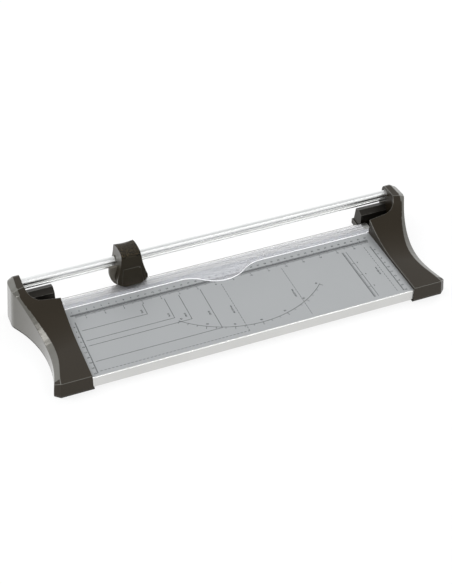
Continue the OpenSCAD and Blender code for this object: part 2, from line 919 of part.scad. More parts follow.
module blade_guard() {
    color("#33302d") place() at_head() difference() {
        union() {
            intersection() {
                along_y(shell_back, guard_back) translate([guard_u, guard_z]) circle(r = guard_r, $fn = 160);
                along_y(-10, 10) polygon([
                    [-40, guard_low], [guard_right, guard_low], [guard_right, guard_bend_z],
                    [guard_top_u, guard_top], [-40, guard_top]
                ]);
            }
            // tab that slides into the head
            translate([-tab_u, guard_back - guard_wall, guard_top - 5])
                cube([2 * tab_u, guard_wall, tab_top - guard_top + 5]);
        }
        // room of the blade
        pin_y(0, blade_z, blade_d + 2 * blade_room, shell_back - 1, guard_back - guard_wall);
        // seat of the axle
        pin_y(0, blade_z, axle_d, 0, guard_back - 0.5);
        for (p = head_screw_places())
            pin_y(p[0], p[1], guard_screw_d, 0, 4);
    }
}

module blade_cover() {
    color("#3a3632") place() at_head() difference() {
        union() {
            intersection() {
                along_y(-head_front, -head_front + shell_wall) head_front_view(0);
                along_y(-head_front, -head_front + shell_wall) panel_view(fit_gap);
            }
            pin_y(0, blade_z, axle_d + 5, -head_front + 1, -7.2);
            // spring lugs behind the cover's top edge
            for (x = [-7, 5])
                translate([x, -head_front + shell_wall, panel_top - 6]) cube([2, 2.5, 7.5]);
        }
        pin_y(0, blade_z, axle_d, -head_front + shell_wall, 0);
        // finger notch
        translate([panel_u - 2.2, -head_front - 1, panel_top - 2]) cube([4, 1.8, 4]);
    }
}

// screws that hold the guard's tab and the rear cover
module head_screws() {
    color("gray") place() at_head() {
        for (p = head_screw_places())
            difference() {
                union() {
                    pin_y(p[0], p[1], guard_screw_d, -4.5, room_front);
                    pin_y(p[0], p[1], 1.8 * guard_screw_d, room_front, room_front + 2);
                }
                translate([p[0] - 0.4, room_front + 1, p[1] - 1.8]) cube([0.8, 2, 3.6]);
                translate([p[0] - 1.8, room_front + 1, p[1] - 0.4]) cube([3.6, 2, 0.8]);
            }
        for (p = cover_screw_places())
            difference() {
                union() {
                    pin_y(p[0], p[1], cover_screw_d, 14, carriage_back);
                    pin_y(p[0], p[1], 1.8 * cover_screw_d, carriage_back, carriage_back + 1);
                }
                translate([p[0] - 0.3, carriage_back + 0.4, p[1] - 1.3]) cube([0.6, 2, 2.6]);
                translate([p[0] - 1.3, carriage_back + 0.4, p[1] - 0.3]) cube([2.6, 2, 0.6]);
            }
    }
}

module rail_bushes() {
    color("ivory") place() at_head()
        for (x = [-bush_out, bush_out - bush_l])
            along_x(x, x + bush_l) translate([rail_y, rail_z]) difference() {
                circle(d = rail_d + 2 * run_gap + 2 * bush_wall, $fn = 96);
                circle(d = rail_d + 2 * run_gap, $fn = 96);
            }
}

module rod_glide() {
    color("ivory") place() at_head() along_x(-glide_half, glide_half) difference() {
        translate([rail_y - slot_half, carriage_low + 1])
            square([2 * slot_half, rod_z + 2.2 - carriage_low - 1]);
        translate([rail_y, rod_z]) circle(d = rod_d + 2 * run_gap, $fn = 64);
        translate([rail_y - rod_d / 2 - run_gap, rod_z]) square([rod_d + 2 * run_gap, 10]);
    }
}

// Blade

module blade_axle() {
    color("silver") place() at_head()
        pin_y(0, blade_z, axle_d, -head_front + shell_wall + 0.4, guard_back - 0.6);
}

module axle_clip() {
    color("gray") place() at_head() difference() {
        pin_y(0, blade_z, axle_d + 4, hub_front - 1, hub_front - 0.2);
        pin_y(0, blade_z, axle_d, -20, 20);
        translate([-1.2, -20, blade_z - 6]) cube([2.4, 40, 6]);
    }
}

// cone washer that presses the blade against the counter knife
module pressure_spring() {
    y0 = blade_y + blade_t + washer_t + run_gap;
    y1 = guard_back - guard_wall;
    color("gray") place() at_head() translate([0, 0, blade_z]) rotate([-90, 0, 0]) rotate_extrude($fn = 64)
        polygon([
            [axle_d / 2 + 0.3, y0], [axle_d / 2 + 3, y1 - 0.2],
            [axle_d / 2 + 3, y1], [axle_d / 2 + 0.3, y0 + 0.2]
        ]);
}

module rotary_blade() {
    color("lightgray") place() at_head() translate([0, 0, blade_z]) rotate([-90, 0, 0]) rotate_extrude($fn = 160)
        polygon([
            [4, blade_y], [blade_d / 2, blade_y], [blade_d / 2, blade_y + 0.05],
            [blade_d / 2 - 1.6, blade_y + blade_t], [4, blade_y + blade_t]
        ]);
}

module blade_hub() {
    color("goldenrod") place() at_head() translate([0, 0, blade_z]) rotate([-90, 0, 0]) rotate_extrude($fn = 64)
        polygon([
            [axle_d / 2 + run_gap, hub_front], [5.5, hub_front], [5.5, blade_y], [4, blade_y],
            [4, blade_y + blade_t], [axle_d / 2 + run_gap, blade_y + blade_t]
        ]);
}

// disc behind the blade that holds it on its hub
module hub_washer() {
    color("gray") place() at_head() difference() {
        pin_y(0, blade_z, 12, blade_y + blade_t, blade_y + blade_t + washer_t);
        pin_y(0, blade_z, axle_d + 2 * run_gap, -5, 5);
    }
}

base_board();
scale_sheet();
counter_knife();
knife_screws();
clear_strip();
left_strip_guide();
right_strip_guide();
strip_springs();
guide_rail();
guide_rod();
rail_plugs();
rail_screws();
left_end_cap();
right_end_cap();
left_end_block();
right_end_block();
block_screws();
left_base_plate();
right_base_plate();
base_screws();
board_screws();
rubber_feet();
head_body();
head_rear_cover();
blade_guard();
grip_pad();
blade_cover();
head_screws();
rail_bushes();
rod_glide();
blade_axle();
axle_clip();
pressure_spring();
rotary_blade();
blade_hub();
hub_washer();
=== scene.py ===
"""Looks of a rotary paper trimmer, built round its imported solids.

Laid out as a Blender add-on and run as a script. Sizes are metres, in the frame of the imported
model: X along the cutting line, Y from the user to the rail, Z up.
"""

import math

import bpy
from bpy.props import FloatProperty, FloatVectorProperty, PointerProperty
from bpy.types import Operator, Panel, PropertyGroup
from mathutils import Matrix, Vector


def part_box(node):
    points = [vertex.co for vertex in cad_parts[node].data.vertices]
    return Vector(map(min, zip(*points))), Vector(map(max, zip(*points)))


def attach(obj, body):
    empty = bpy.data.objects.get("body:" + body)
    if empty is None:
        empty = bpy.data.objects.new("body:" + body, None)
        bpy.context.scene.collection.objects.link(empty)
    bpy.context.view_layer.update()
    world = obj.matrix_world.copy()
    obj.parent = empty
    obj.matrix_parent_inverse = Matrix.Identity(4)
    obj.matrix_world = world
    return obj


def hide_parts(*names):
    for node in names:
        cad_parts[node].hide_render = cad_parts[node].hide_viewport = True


bl_info = {
    "name": "Rotary Trimmer Looks",
    "version": (1, 0, 0),
    "blender": (4, 5, 0),
    "location": "View3D > Sidebar > Trimmer",
    "description": "Dresses the packed paper trimmer and sets its studio",
    "category": "Object",
}

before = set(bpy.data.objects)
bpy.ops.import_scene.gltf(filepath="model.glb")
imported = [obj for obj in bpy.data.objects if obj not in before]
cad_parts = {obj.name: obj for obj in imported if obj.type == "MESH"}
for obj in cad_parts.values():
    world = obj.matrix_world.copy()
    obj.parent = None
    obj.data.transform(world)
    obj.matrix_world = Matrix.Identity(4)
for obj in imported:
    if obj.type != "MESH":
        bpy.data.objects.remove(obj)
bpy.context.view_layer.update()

MM = 0.001
INCH = 25.4                       # mm
SHEET_LOW, SHEET_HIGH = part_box("scale_sheet")
STRIP_LOW, STRIP_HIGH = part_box("clear_strip")
CUT_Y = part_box("counter_knife")[1].y
TOP_Z = SHEET_HIGH.z


def srgb(text):
    """Linear colour of a hex colour such as C9CFCF."""
    linear = []
    for i in (0, 2, 4):
        c = int(text[i:i + 2], 16) / 255
        linear.append(c / 12.92 if c <= 0.04045 else ((c + 0.055) / 1.055) ** 2.4)
    return (*linear, 1.0)


def colour(name, about, text):
    """A colour that the user can change."""
    return FloatVectorProperty(name=name, description=about, subtype="COLOR", size=4,
                               min=0, max=1, default=srgb(text))


def length(name, about, metres):
    """A length that the user can change."""
    return FloatProperty(name=name, description=about, unit="LENGTH", subtype="DISTANCE",
                         precision=5, default=metres)


def amount(name, about, default):
    """A power or strength that the user can change."""
    return FloatProperty(name=name, description=about, default=default, min=0)


class TrimmerColours(PropertyGroup):
    """Colours of the finishes"""
    cap: colour("End Caps", "Moulded plastic of the caps", "241E15")
    head: colour("Cutter Head", "Moulded plastic of the head", "241F15")
    guard: colour("Blade Guard", "Moulded plastic of the round guard", "5E5A52")
    # Lighter than the caps and the head: a painted highlight along the rounded edges and a
    # painted reflection of the side lamp on the caps' outer walls
    worn: colour("Smooth Edges", "Edges and outer walls polished by the mould", "3F3F3A")
    grip: colour("Grip", "Grained skin of the grip", "241F16")
    black: colour("Inner Parts", "Black plastic of blocks, plates and guides", "171512")
    board: colour("Board", "Natural anodised aluminium", "D0D0CE")
    sheet: colour("Scale Sheet", "Printed film", "969899")
    ink: colour("Scale Ink", "Print of rulers and format lines", "1E2225")
    # this colour also lightens the board's lip, where it is a painted highlight
    knife: colour("Counter Knife", "Ground steel, and the board's polished edge", "F8F8F6")
    rail: colour("Rail", "Bright anodised tube", "EAEBEA")
    rod: colour("Rod", "Drawn steel rod", "EDEEEC")
    strip: colour("Pressing Strip", "Clear acrylic", "FCFCFE")


class TrimmerSizes(PropertyGroup):
    """Sizes of the print, the rounded edges, the strip's grooves and the knife's edge"""
    line: length("Line Width", "Width of the printed format lines", 0.0006)
    tick: length("Tick Width", "Width of the rulers' ticks", 0.00055)
    numeral: length("Numerals", "Height of the rulers' numerals", 0.0033)
    print_t: length("Print Thickness", "How far the print stands above the film", 0.00004)
    cap_edge: length("Cap Edge", "Rounding of the caps' edges", 0.0005)
    # the caps' outer walls behind this point take the lighter edge colour, a painted reflection
    # of the side lamp
    wall_front: length("Smooth Wall's Front", "Where the caps' smooth outer wall begins", -0.084)
    head_edge: length("Head Edge", "Rounding of the head's edges", 0.0008)
    groove: length("Groove Depth", "Depth of the grooves along the strip's back", 0.0003)
    knife_edge: length("Knife Edge", "Width of the knife's dark edge", 0.0008)


class TrimmerStudio(PropertyGroup):
    """Camera and lamps"""
    azimuth: FloatProperty(name="Azimuth", description="Camera's turn round the trimmer",
                           subtype="ANGLE", default=math.radians(-21.77))
    elevation: FloatProperty(name="Elevation", description="Camera's height above the horizon",
                             subtype="ANGLE", default=math.radians(40.66))
    distance: length("Distance", "Camera to the point it looks at", 1.6207)
    lens: FloatProperty(name="Lens", description="Focal length", unit="CAMERA", default=76.17)
    key: amount("Key Lamp", "Power of the softbox at the right in watts", 7.0)
    front: amount("Front Lamp", "Power of the low front lamp in watts", 4.0)
    high: amount("High Lamp", "Power of the narrow high front lamp in watts", 4.0)
    side: amount("Side Lamp", "Power of the long softbox at the left in watts", 9.0)
    horizon: amount("Horizon", "Strength of the white room at eye level", 1.0)
    wall: amount("Back Wall", "How much brighter the wall behind is", 1.3)
    zenith: amount("Zenith", "Strength of the white room overhead", 0.5)


# Materials


def new_material(name):
    """An empty node material with its output."""
    mat = bpy.data.materials.new(name)
    mat.use_nodes = True
    mat.node_tree.nodes.clear()
    return mat, mat.node_tree.nodes.new("ShaderNodeOutputMaterial")


def add(mat, kind, inputs=None, **settings):
    """Adds a node with its settings, and sets or links its sockets."""
    node = mat.node_tree.nodes.new(kind)
    for name, value in settings.items():
        setattr(node, name, value)
    for name, value in (inputs or {}).items():
        if isinstance(value, bpy.types.NodeSocket):
            mat.node_tree.links.new(value, node.inputs[name])
        else:
            node.inputs[name].default_value = value
    return node


def place(mat, scale=(1, 1, 1)):
    """Object coordinates, stretched by scale."""
    coords = add(mat, "ShaderNodeTexCoord").outputs["Object"]
    if scale == (1, 1, 1):
        return coords
    return add(mat, "ShaderNodeMapping", {"Vector": coords, "Scale": scale}).outputs["Vector"]


def noise(mat, size, detail, scale=(1, 1, 1), rough=0.5):
    """Noise from 0 to 1 whose spots are about size mm wide."""
    return add(mat, "ShaderNodeTexNoise", {
        "Vector": place(mat, scale), "Scale": 1 / (size * MM), "Detail": detail,
        "Roughness": rough}).outputs["Fac"]


def relief(mat, height, strength, depth):
    """The normal of a surface whose height goes from 0 to 1 over depth mm."""
    return add(mat, "ShaderNodeBump", {"Height": height, "Strength": strength,
                                       "Distance": depth * MM}).outputs["Normal"]


def shade(mat, out, inputs):
    """A Principled shader on the output."""
    shader = add(mat, "ShaderNodeBsdfPrincipled", inputs)
    mat.node_tree.links.new(shader.outputs["BSDF"], out.inputs["Surface"])


def vary(mat, source, low, high):
    """source, 0 to 1, as a number between low and high."""
    return add(mat, "ShaderNodeMapRange", {"Value": source, "To Min": low,
                                           "To Max": high}).outputs["Result"]


def tint(mat, source, base, low, high):
    """base, made darker or lighter by source, between low and high times as bright."""
    return add(mat, "ShaderNodeHueSaturation", {"Value": vary(mat, source, low, high),
                                                "Color": base}).outputs["Color"]


def moulded(name, base, grain, depth, rough, sheen=0.4, skin=0.0):
    """Injection-moulded plastic: a spark-eroded grain, grain mm wide, and a slow change of
    gloss, under a smooth skin where the tool was polished."""
    mat, out = new_material(name)
    fine = noise(mat, grain, 2.0, rough=0.6)
    slow = noise(mat, 28, 3.0)
    shade(mat, out, {
        "Base Color": tint(mat, slow, base, 0.93, 1.07),
        "Roughness": vary(mat, slow, rough - 0.05, rough + 0.05),
        "Specular IOR Level": sheen,
        "Specular Tint": srgb("FFF8EC"),
        "Coat Weight": skin,
        "Coat Roughness": 0.2,
        "Normal": relief(mat, fine, depth, 0.05),
    })
    return mat


def grained(name, base):
    """Leather-grained elastomer skin: small raised cells between fine creases."""
    mat, out = new_material(name)
    cells = add(mat, "ShaderNodeTexVoronoi", {"Vector": place(mat), "Scale": 1 / (1.5 * MM)},
                feature="SMOOTH_F1")
    creases = noise(mat, 0.5, 3.0)
    specks = noise(mat, 1.3, 1.0)
    height = add(mat, "ShaderNodeMath", {0: cells.outputs["Distance"], 1: creases},
                 operation="SUBTRACT")
    shade(mat, out, {
        # the noise keeps near its middle, so that few specks come near these two limits
        "Base Color": tint(mat, specks, base, -5.0, 7.4),
        "Roughness": vary(mat, creases, 0.5, 0.7),
        "Specular IOR Level": 0.12,
        "Normal": relief(mat, height.outputs["Value"], 0.8, 0.4),
    })
    return mat


def drawn(name, base, stretch, rough, depth=0.25, spread=0.05):
    """Metal with the fine marks of drawing, rolling or grinding, stretched along its way."""
    mat, out = new_material(name)
    lines = noise(mat, 0.35, 4.0, stretch, 0.65)
    slow = noise(mat, 35, 2.0)
    shade(mat, out, {
        "Base Color": tint(mat, slow, base, 0.95, 1.04),
        "Metallic": 1.0,
        "Roughness": vary(mat, lines, rough - spread, rough + spread),
        "Normal": relief(mat, lines, depth, 0.02),
    })
    return mat


def film(name, base):
    """Semi-matte printed film: a faint orange-peel surface over an even ground."""
    mat, out = new_material(name)
    peel = noise(mat, 1.4, 2.0)
    slow = noise(mat, 60, 2.0)
    shade(mat, out, {
        "Base Color": tint(mat, slow, base, 0.975, 1.02),
        "Roughness": vary(mat, peel, 0.42, 0.52),
        "Normal": relief(mat, peel, 0.12, 0.03),
    })
    return mat


def ink(name, base):
    """Screen-printed ink: a matt dark layer, a little thin in places."""
    mat, out = new_material(name)
    thin = noise(mat, 0.8, 3.0)
    shade(mat, out, {
        "Base Color": tint(mat, thin, base, 1.25, 0.85),
        "Roughness": vary(mat, thin, 0.5, 0.62),
        "Specular IOR Level": 0.35,
    })
    return mat


def rubber(name, base):
    """Soft matt rubber with a dusty bloom."""
    mat, out = new_material(name)
    dust = noise(mat, 2, 4.0)
    shade(mat, out, {
        "Base Color": tint(mat, dust, base, 0.85, 1.35),
        "Roughness": vary(mat, dust, 0.72, 0.88),
        "Normal": relief(mat, dust, 0.3, 0.05),
    })
    return mat


def mixed(mat, share, first, second):
    """first where share is 0, second where it is 1."""
    return add(mat, "ShaderNodeMixShader", {0: share, 1: first, 2: second}).outputs["Shader"]


def clear_acrylic(name, base, haze):
    """Cast acrylic that lamps shine through, with faint wipe marks in its gloss and the haze of
    the fine scratches that paper leaves."""
    mat, out = new_material(name)
    wipes = noise(mat, 4, 3.0, (0.2, 1, 1))
    glass = add(mat, "ShaderNodeBsdfPrincipled", {
        "Base Color": base, "Transmission Weight": 1.0, "IOR": 1.49,
        "Roughness": vary(mat, wipes, 0.01, 0.05),
    })
    milk = add(mat, "ShaderNodeBsdfDiffuse", {"Color": base})
    worn = mixed(mat, vary(mat, wipes, haze * 0.6, haze * 1.4), glass.outputs["BSDF"],
                 milk.outputs["BSDF"])
    open_way = add(mat, "ShaderNodeBsdfTransparent", {"Color": base})
    path = add(mat, "ShaderNodeLightPath")
    mix = mixed(mat, path.outputs["Is Shadow Ray"], worn, open_way.outputs["BSDF"])
    mat.node_tree.links.new(mix, out.inputs["Surface"])
    return mat


def sawn_acrylic(name, base, glow):
    """The strip's milled edge: frosted by the cutter's fine lines, and bright by a painted glow
    that stands in for the light the sheet leads to it."""
    mat, out = new_material(name)
    lines = noise(mat, 0.3, 2.0, (1, 1, 0.1))
    shade(mat, out, {
        "Base Color": tint(mat, lines, base, 0.9, 0.97),
        "Roughness": vary(mat, lines, 0.4, 0.6),
        # painted glow: the edge gives off light of its own
        "Emission Color": base,
        "Emission Strength": glow,
        "Normal": relief(mat, lines, 0.3, 0.03),
    })
    return mat


MATERIALS = {}


def finish(piece, name):
    """Gives a piece one of the named materials in place of its own."""
    piece.data.materials.clear()
    piece.data.materials.append(MATERIALS[name])


KEPT_SOLIDS = {
    "printed_film": ["scale_sheet"],
    "drawn_rail_aluminium": ["guide_rail"],
    "drawn_rod_steel": ["guide_rod", "blade_axle"],
    "zinc_plated_steel": ["knife_screws", "rail_plugs", "rail_screws", "block_screws",
                          "base_screws", "board_screws", "head_screws", "hub_washer"],
    "spring_steel": ["strip_springs", "axle_clip", "pressure_spring"],
    "moulded_black": ["left_strip_guide", "right_strip_guide", "left_base_plate",
                      "right_base_plate"],
    "moulded_head": ["head_rear_cover"],
    "acetal": ["rail_bushes", "rod_glide"],
    "foot_rubber": ["rubber_feet"],
    "ground_blade_steel": ["rotary_blade"],
    "turned_brass": ["blade_hub"],
}


# Modelling

WELD = 0.002 * MM                 # gap that is closed when loose triangles are merged
FLAT = math.radians(0.3)          # bend up to which triangles are made one face
SMOOTH = math.radians(20)         # bend up to which faces are shaded as one surface
SHARP, CAP_SHARP = 32, 22         # bend in degrees from which an edge is rounded
CAP_SPECKS = 0.2 * MM             # the caps' faceting leaves edges this short, which are closed
SIDEWAYS = 0.5                    # a normal's share along X from which a face is a side
SHALLOW = 0.6                     # rounding of the thin pieces as a share of the shell's


def only(*pieces):
    """Selects these pieces alone, the first of them active."""
    bpy.ops.object.select_all(action="DESELECT")
    for piece in pieces:
        piece.select_set(True)
    bpy.context.view_layer.objects.active = pieces[0]


def settle(piece):
    """Moves a piece's place, turn and scale into its mesh."""
    only(piece)
    bpy.ops.object.transform_apply(location=True, rotation=True, scale=True)
    return piece


def join(name, pieces):
    """Several pieces as one mesh."""
    only(*pieces)
    bpy.ops.object.join()
    pieces[0].name = pieces[0].data.name = name
    return pieces[0]


def copied(node, name):
    """A merged copy of a CAD solid, selected and active, as the start of a dressed piece."""
    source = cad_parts[node]
    piece = source.copy()
    piece.data = source.data.copy()
    for key in list(piece.keys()):
        del piece[key]
    piece.parent = None
    bpy.context.collection.objects.link(piece)
    piece.name = piece.data.name = name
    only(piece)
    bpy.ops.mesh.customdata_custom_splitnormals_clear()
    bpy.ops.object.mode_set(mode="EDIT")
    bpy.ops.mesh.select_all(action="SELECT")
    bpy.ops.mesh.remove_doubles(threshold=WELD)
    bpy.ops.mesh.dissolve_limited(angle_limit=FLAT)
    bpy.ops.object.mode_set(mode="OBJECT")
    return piece


def modify(piece, kind, **settings):
    """Adds a modifier with its settings and applies it."""
    only(piece)
    modifier = piece.modifiers.new(kind.lower(), kind)
    for name, value in settings.items():
        setattr(modifier, name, value)
    bpy.ops.object.modifier_apply(modifier=modifier.name)
    return piece


def split(piece, places):
    """Cuts a piece's faces at each of these places along Y."""
    only(piece)
    bpy.ops.object.mode_set(mode="EDIT")
    for y in places:
        bpy.ops.mesh.select_all(action="SELECT")
        bpy.ops.mesh.bisect(plane_co=(0, y, 0), plane_no=(0, 1, 0))
    bpy.ops.object.mode_set(mode="OBJECT")


def smooth(piece):
    """Shades a piece smooth between its sharp edges."""
    only(piece)
    bpy.ops.object.shade_smooth_by_angle(angle=SMOOTH)


def rounded(node, name, width, body, material, edge, sharp=SHARP, short=0.0):
    """A CAD solid with its edges over sharp degrees rounded and left smooth, in its place. Edges
    under short are closed first, so that they don't hold the rounding back, and what the rounding
    then throws out of the solid's box is brought back to it."""
    piece = copied(node, name)
    if short:
        bpy.ops.object.mode_set(mode="EDIT")
        bpy.ops.mesh.select_all(action="SELECT")
        bpy.ops.mesh.dissolve_degenerate(threshold=short)
        bpy.ops.object.mode_set(mode="OBJECT")
    finish(piece, material)
    # the rounded faces take the edge material; every caller gives the lighter one, which paints a
    # highlight along the edges
    piece.data.materials.append(MATERIALS[edge])
    modify(piece, "BEVEL", width=width, segments=4, limit_method="ANGLE", material=1,
           angle_limit=math.radians(sharp), use_clamp_overlap=not short)
    low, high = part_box(node)
    for v in piece.data.vertices:
        v.co = [min(max(v.co[k], low[k]), high[k]) for k in range(3)]
    smooth(piece)
    modify(piece, "WEIGHTED_NORMAL", keep_sharp=True)
    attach(piece, body)
    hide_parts(node)
    return piece


class TRIMMER_OT_materials(Operator):
    """Make every finish and give it to the solids that are kept"""
    bl_idname = "trimmer.materials"
    bl_label = "Finish the Solids"

    def execute(self, context):
        c = context.scene.trimmer_colours
        along = (0.03, 1, 1)          # stretches a pattern along the board
        far_along = (0.001, 1, 1)
        recipes = {
            "moulded_cap": (moulded, c.cap, 0.45, 0.3, 0.34, 0.2, 0.15),
            # lighter than the pieces it edges: painted highlight on rounded edges and painted
            # reflection on the caps' outer walls; its higher gloss and coat are real
            "glossy_edge_painted_highlight": (moulded, c.worn, 0.45, 0.1, 0.3, 0.9, 0.8),
            "satin_side": (moulded, c.head, 0.4, 0.2, 0.35, 0.5, 0.25),
            "moulded_guard": (moulded, c.guard, 0.4, 0.3, 0.4, 0.4),
            "moulded_head": (moulded, c.head, 0.4, 0.3, 0.4, 0.3),
            "moulded_black": (moulded, c.black, 0.5, 0.3, 0.5),
            "grained_grip": (grained, c.grip),
            "anodised_board": (drawn, c.board, along, 0.34, 0.1),
            "printed_film": (film, c.sheet),
            "polished_lip_painted_highlight": (drawn, c.knife, along, 0.16, 0.03),
            "ground_knife_steel": (drawn, c.knife, (0.02, 1, 1), 0.24, 0.1),
            "dark_knife_rear_band": (drawn, srgb("3A3C3E"), (0.02, 1, 1), 0.3),
            "drawn_rail_aluminium": (drawn, c.rail, far_along, 0.4, 0.02, 0.03),
            "drawn_rod_steel": (drawn, c.rod, far_along, 0.3, 0.02, 0.03),
            "zinc_plated_steel": (drawn, srgb("A9ABAC"), (1, 1, 1), 0.34),
            "spring_steel": (drawn, srgb("9EA1A4"), (0.05, 1, 1), 0.3),
            "ground_blade_steel": (drawn, srgb("C4C8CB"), (1, 1, 1), 0.22),
            "turned_brass": (drawn, srgb("C4A463"), (1, 0.05, 1), 0.26),
            "acetal": (moulded, srgb("4A4742"), 0.6, 0.15, 0.4),
            "foot_rubber": (rubber, srgb("1E1D1C")),
            "cast_acrylic": (clear_acrylic, c.strip, 0.06),
            # the last number is the strength of the milled edge's painted glow
            "sawn_acrylic": (sawn_acrylic, c.strip, 0.3),
            "screen_ink": (ink, c.ink),
        }
        for name, (make, *values) in recipes.items():
            MATERIALS[name] = make(name, *values)
        for name, nodes in KEPT_SOLIDS.items():
            for node in nodes:
                finish(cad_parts[node], name)
        return {"FINISHED"}


class TRIMMER_OT_caps(Operator):
    """Round the edges of the end caps and of the black blocks in them"""
    bl_idname = "trimmer.caps"
    bl_label = "Round the Caps"

    def execute(self, context):
        z = context.scene.trimmer_sizes
        upright, outward = 0.12, 0.15     # limits of a normal's share up and out
        for side, out in (("left", -1), ("right", 1)):
            piece = rounded(f"{side}_end_cap", f"{side}_cap_rounded", z.cap_edge, "frame",
                            "moulded_cap", "glossy_edge_painted_highlight", CAP_SHARP, CAP_SPECKS)
            # Upright faces in front of the wall's start keep the cap's colour; outward walls
            # behind it take the lighter edge colour, a painted reflection of the side lamp
            for face in piece.data.polygons:
                if face.center.y < z.wall_front and abs(face.normal.z) < upright:
                    face.material_index = 0
                elif face.center.y > z.wall_front and face.normal.x * out > outward:
                    face.material_index = 1
            # the blocks' rounded edges take the lighter colour too, a painted highlight
            rounded(f"{side}_end_block", f"{side}_block_rounded", z.cap_edge, "frame",
                    "moulded_black", "glossy_edge_painted_highlight")
        return {"FINISHED"}


class TRIMMER_OT_head(Operator):
    """Round the edges of the cutter head's shells"""
    bl_idname = "trimmer.head"
    bl_label = "Round the Head"

    def execute(self, context):
        z = context.scene.trimmer_sizes
        for node, name, width, material in (
                ("head_body", "head_shell_rounded", z.head_edge, "moulded_head"),
                ("blade_guard", "guard_rounded", z.head_edge, "moulded_guard"),
                ("blade_cover", "cover_rounded", z.head_edge * SHALLOW, "moulded_head"),
                ("grip_pad", "grip_rounded", z.head_edge * SHALLOW, "grained_grip")):
            piece = rounded(node, name, width, "cutter_head", material, "glossy_edge_painted_highlight")
            # the rounded edges take the lighter edge colour, a painted highlight; sideways faces
            # then take a glossier copy of the shell's own colour
            piece.data.materials.append(MATERIALS["satin_side"])
            for face in piece.data.polygons:
                if abs(face.normal.x) > SIDEWAYS:
                    face.material_index = 2
        return {"FINISHED"}


GROOVE_PITCH = 1.0 * MM           # from groove to groove, with a crest halfway between two
GROOVES = 6
HAIR = 0.01 * MM                  # how far off its line a vertex may lie
MILLED_BEVEL = 0.35 * MM
MILLED_SHARE = 0.7                # share of the strip's depth that the milled front edge spans


class TRIMMER_OT_strip(Operator):
    """Make the clear strip with its bevelled wavy edge and the grooves along its back"""
    bl_idname = "trimmer.strip"
    bl_label = "Make the Strip"

    def execute(self, context):
        z = context.scene.trimmer_sizes
        piece = copied("clear_strip", "strip_grooved")
        lines = [STRIP_HIGH.y - k * GROOVE_PITCH / 2 for k in range(1, 2 * GROOVES)]
        split(piece, lines)
        for v in piece.data.vertices:
            grooved = any(abs(v.co.y - y) < HAIR for y in lines[::2])
            v.select = grooved and v.co.z > STRIP_HIGH.z - HAIR
        for part in (piece.data.edges, piece.data.polygons):
            part.foreach_set("select", [False] * len(part))
        bpy.ops.object.mode_set(mode="EDIT")
        bpy.ops.mesh.select_mode(type="VERT")
        bpy.ops.transform.translate(value=(0, 0, -z.groove))
        bpy.ops.object.mode_set(mode="OBJECT")
        modify(piece, "BEVEL", width=MILLED_BEVEL, segments=1, limit_method="ANGLE",
               angle_limit=math.radians(60), use_clamp_overlap=True)
        finish(piece, "cast_acrylic")
        piece.data.materials.append(MATERIALS["sawn_acrylic"])
        back = STRIP_LOW.y + (STRIP_HIGH.y - STRIP_LOW.y) * MILLED_SHARE
        forward = 0.3                 # a normal's share to the front from which a face is milled
        for face in piece.data.polygons:
            # the milled front faces take the frosted edge with its painted glow
            if -face.normal.y > forward and face.center.y < back:
                face.material_index = 1
        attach(piece, "strip")
        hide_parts("clear_strip")
        return {"FINISHED"}


class TRIMMER_OT_board(Operator):
    """Make the board with its polished lip and rounded edge in front of the scale sheet; the
    lip's lighter colour is a painted highlight
    """
    bl_idname = "trimmer.board"
    bl_label = "Polish the Board's Edge"

    def execute(self, context):
        piece = copied("base_board", "board_polished")
        finish(piece, "anodised_board")
        piece.data.materials.append(MATERIALS["polished_lip_painted_highlight"])
        upward = 0.2                  # a normal's share up from which a face is polished and lightened as a painted highlight
        for face in piece.data.polygons:
            if face.normal.z > upward and face.center.y < SHEET_LOW.y:
                face.material_index = 1
        smooth(piece)
        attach(piece, "frame")
        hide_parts("base_board")
        return {"FINISHED"}


class TRIMMER_OT_knife(Operator):
    """Make the counter knife with a darker band along its rear edge behind the bright ground face
    """
    bl_idname = "trimmer.knife"
    bl_label = "Grind the Knife"

    def execute(self, context):
        z = context.scene.trimmer_sizes
        piece = copied("counter_knife", "knife_ground")
        edge = CUT_Y - z.knife_edge
        split(piece, [edge])
        finish(piece, "ground_knife_steel")
        piece.data.materials.append(MATERIALS["dark_knife_rear_band"])
        for face in piece.data.polygons:
            if face.center.y > edge:
                face.material_index = 1
        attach(piece, "frame")
        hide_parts("counter_knife")
        return {"FINISHED"}


# Print on the scale sheet, laid out in mm from the board's left edge and from the cutting line

TUCK = 8 * MM                     # what each end cap hides of the sheet
BOARD_LEFT = SHEET_LOW.x + TUCK
RULER_Y = 39.3                    # line between the centimetre and the inch ruler
CM_Y, INCH_Y = 32, 48             # middles of their numerals
FIELD_LEFT = 12.5                 # left end of the format lines
FIELD_BACK, FIELD_FRONT = 50, 148   # rear and front ends of the printed field
SIDE_RULERS = (9.5, 1), (427.5, -1)   # inner ends of the ticks, and the way inwards from them
EDGE_X = 386.5                    # left line of the short inch ruler at the right
ARC_X, ARC_R = 232.0, 139.0       # the angle arc's middle, on the cutting line, and its radius
ARC_STEP = 2.43                   # one degree of the arc
ARC_NUMERALS_R = ARC_R - 4.5
BOLD = 0.03                       # by how much of their height the letters are thickened


def spot(x, y, z=0.0):
    """The place on the sheet x mm from the left edge and y mm before the cutting line."""
    return Vector((BOARD_LEFT + x * MM, CUT_Y - y * MM, TOP_Z + z))


def block(middle, size, turn=0.0):
    """A box of this size about a middle, turned about Z."""
    bpy.ops.mesh.primitive_cube_add(size=1, location=middle, rotation=(0, 0, turn), scale=size)
    return settle(bpy.context.object)


def bar(x0, x1, y0, y1, t):
    """A printed bar between two corners on the sheet, t thick."""
    low, high = spot(x0, y1), spot(x1, y0, t)
    return block((low + high) / 2, high - low)


def line_along(x0, x1, y, w, t):
    """A printed line along the cut, w wide."""
    return bar(x0, x1, y - w / 2, y + w / 2, t)


